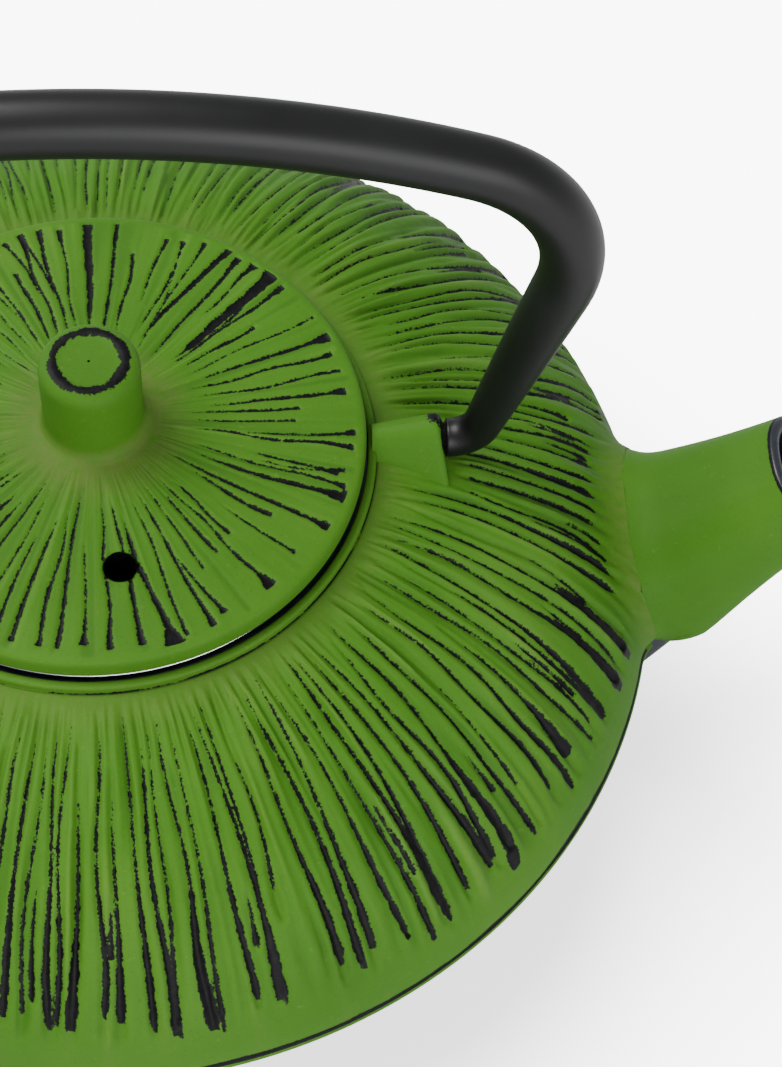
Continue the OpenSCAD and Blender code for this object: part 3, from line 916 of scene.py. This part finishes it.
# ---------------------------------------------------------------- rides
for ob in [pot, spout, inside] + lugs:
    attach(ob, "pot")
for ob in (lid, vent):
    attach(ob, "cover")
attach(bail, "handle")
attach(rim, "basket")
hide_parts("pot_bowl", "pot_dome", "collar")
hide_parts("spout")
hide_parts("lug_front")
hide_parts("lug_rear")
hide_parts("lid", "lid_ring", "knob")
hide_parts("bail")
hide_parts("infuser_rim")
for n in ("infuser_band", "infuser_seam"):
    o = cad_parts[n]
    o.data.materials.clear()
    o.data.materials.append(M_STEEL)
for n in ("infuser_mesh", "infuser_floor"):
    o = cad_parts[n]
    o.data.materials.clear()
    o.data.materials.append(M_MESH)

# ---------------------------------------------------------------- stage
fm, fnt, fb = nodes_of("pale_floor")
lp_node = fnt.nodes.new("ShaderNodeLightPath")
pale = ramp(fnt, noise(fnt, 3.0, 2.0), [(0.3, (0.87, 0.87, 0.875)), (0.7, (0.89, 0.89, 0.895))])
# pale to the camera, dark to bounced light so that it casts no haze
seen = mix_col(fnt, lp_node.outputs["Is Camera Ray"], (0.17, 0.17, 0.17), pale)
fnt.links.new(seen, fb.inputs["Base Color"])
fb.inputs["Roughness"].default_value = 0.9
fb.inputs["Specular IOR Level"].default_value = 0.1
glow = fnt.nodes.new("ShaderNodeEmission")
fnt.links.new(math_node(fnt, "MULTIPLY", lp_node.outputs["Is Camera Ray"], 1.6), glow.inputs["Strength"])
add_sh = fnt.nodes.new("ShaderNodeAddShader")
fnt.links.new(fb.outputs[0], add_sh.inputs[0])
fnt.links.new(glow.outputs[0], add_sh.inputs[1])
fnt.links.new(add_sh.outputs[0], fnt.nodes["Material Output"].inputs["Surface"])
FLOOR, FLOOR_Z = 4000.0, -0.2
corners = [(-FLOOR, -FLOOR), (FLOOR, -FLOOR), (FLOOR, FLOOR), (-FLOOR, FLOOR)]
fl = add_mesh("floor", np.array([[x, y, FLOOR_Z] for x, y in corners]), [[0, 1, 2, 3]], [fm])

world = bpy.data.worlds.new("studio")
bpy.context.scene.world = world
world.use_nodes = True
wb = world.node_tree.nodes["Background"]
wb.inputs["Color"].default_value = (0.95, 0.97, 1.0, 1)
wb.inputs["Strength"].default_value = 0.62


def area(name, loc, target, size, power, color=(1, 1, 1)):
    """A rectangular lamp at loc in metres, turned to the target."""
    d = bpy.data.lights.new(name, "AREA")
    d.shape = "RECTANGLE"
    d.size, d.size_y = size
    d.energy = power
    d.color = color
    o = bpy.data.objects.new(name, d)
    o.location = loc
    o.rotation_euler = (Vector(target) - Vector(loc)).to_track_quat("-Z", "Y").to_euler()
    bpy.context.scene.collection.objects.link(o)
    return o


area("key_soft", (-0.55, 0.25, 0.95), (0, 0, 0.05), (0.7, 0.7), 20.0, (1.0, 0.985, 0.96))
area("fill_soft", (0.3, -0.9, 0.45), (0.03, 0, 0.04), (1.0, 0.6), 11.0)
floor_only = bpy.data.collections.new("floor_only")
floor_only.objects.link(fl)
sun_d = bpy.data.lights.new("floor_light", "SUN")
sun_d.energy = 22.0
sun_d.angle = math.radians(65)
sun = bpy.data.objects.new("floor_light", sun_d)
sun.rotation_euler = Vector((0.5, -0.38, -1.0)).to_track_quat("-Z", "Y").to_euler()
bpy.context.scene.collection.objects.link(sun)
sun.light_linking.receiver_collection = floor_only

# ---------------------------------------------------------------- camera
FRAME_H, FOCAL = 1067, 2592.7
pan, pitch, roll = math.radians(6.76), math.radians(57.56), math.radians(4.638)
fw = Vector((math.sin(pan) * math.cos(pitch), math.cos(pan) * math.cos(pitch), -math.sin(pitch)))
rt = Vector((math.cos(pan), -math.sin(pan), 0))
up = rt.cross(fw)
r2 = math.cos(roll) * rt + math.sin(roll) * up
u2 = -math.sin(roll) * rt + math.cos(roll) * up
cam_d = bpy.data.cameras.new("camera")
cam = bpy.data.objects.new("camera", cam_d)
bpy.context.scene.collection.objects.link(cam)
rot = Matrix((r2, u2, -fw)).transposed().to_4x4()
cam.matrix_world = Matrix.Translation(Vector((19.56, -223.61, 322.7 + LID_Z)) * MM) @ rot
cam_d.sensor_width = 36.0
cam_d.lens = FOCAL / FRAME_H * 36.0
cam_d.clip_start = 0.01
cam_d.clip_end = 50.0
bpy.context.scene.camera = cam
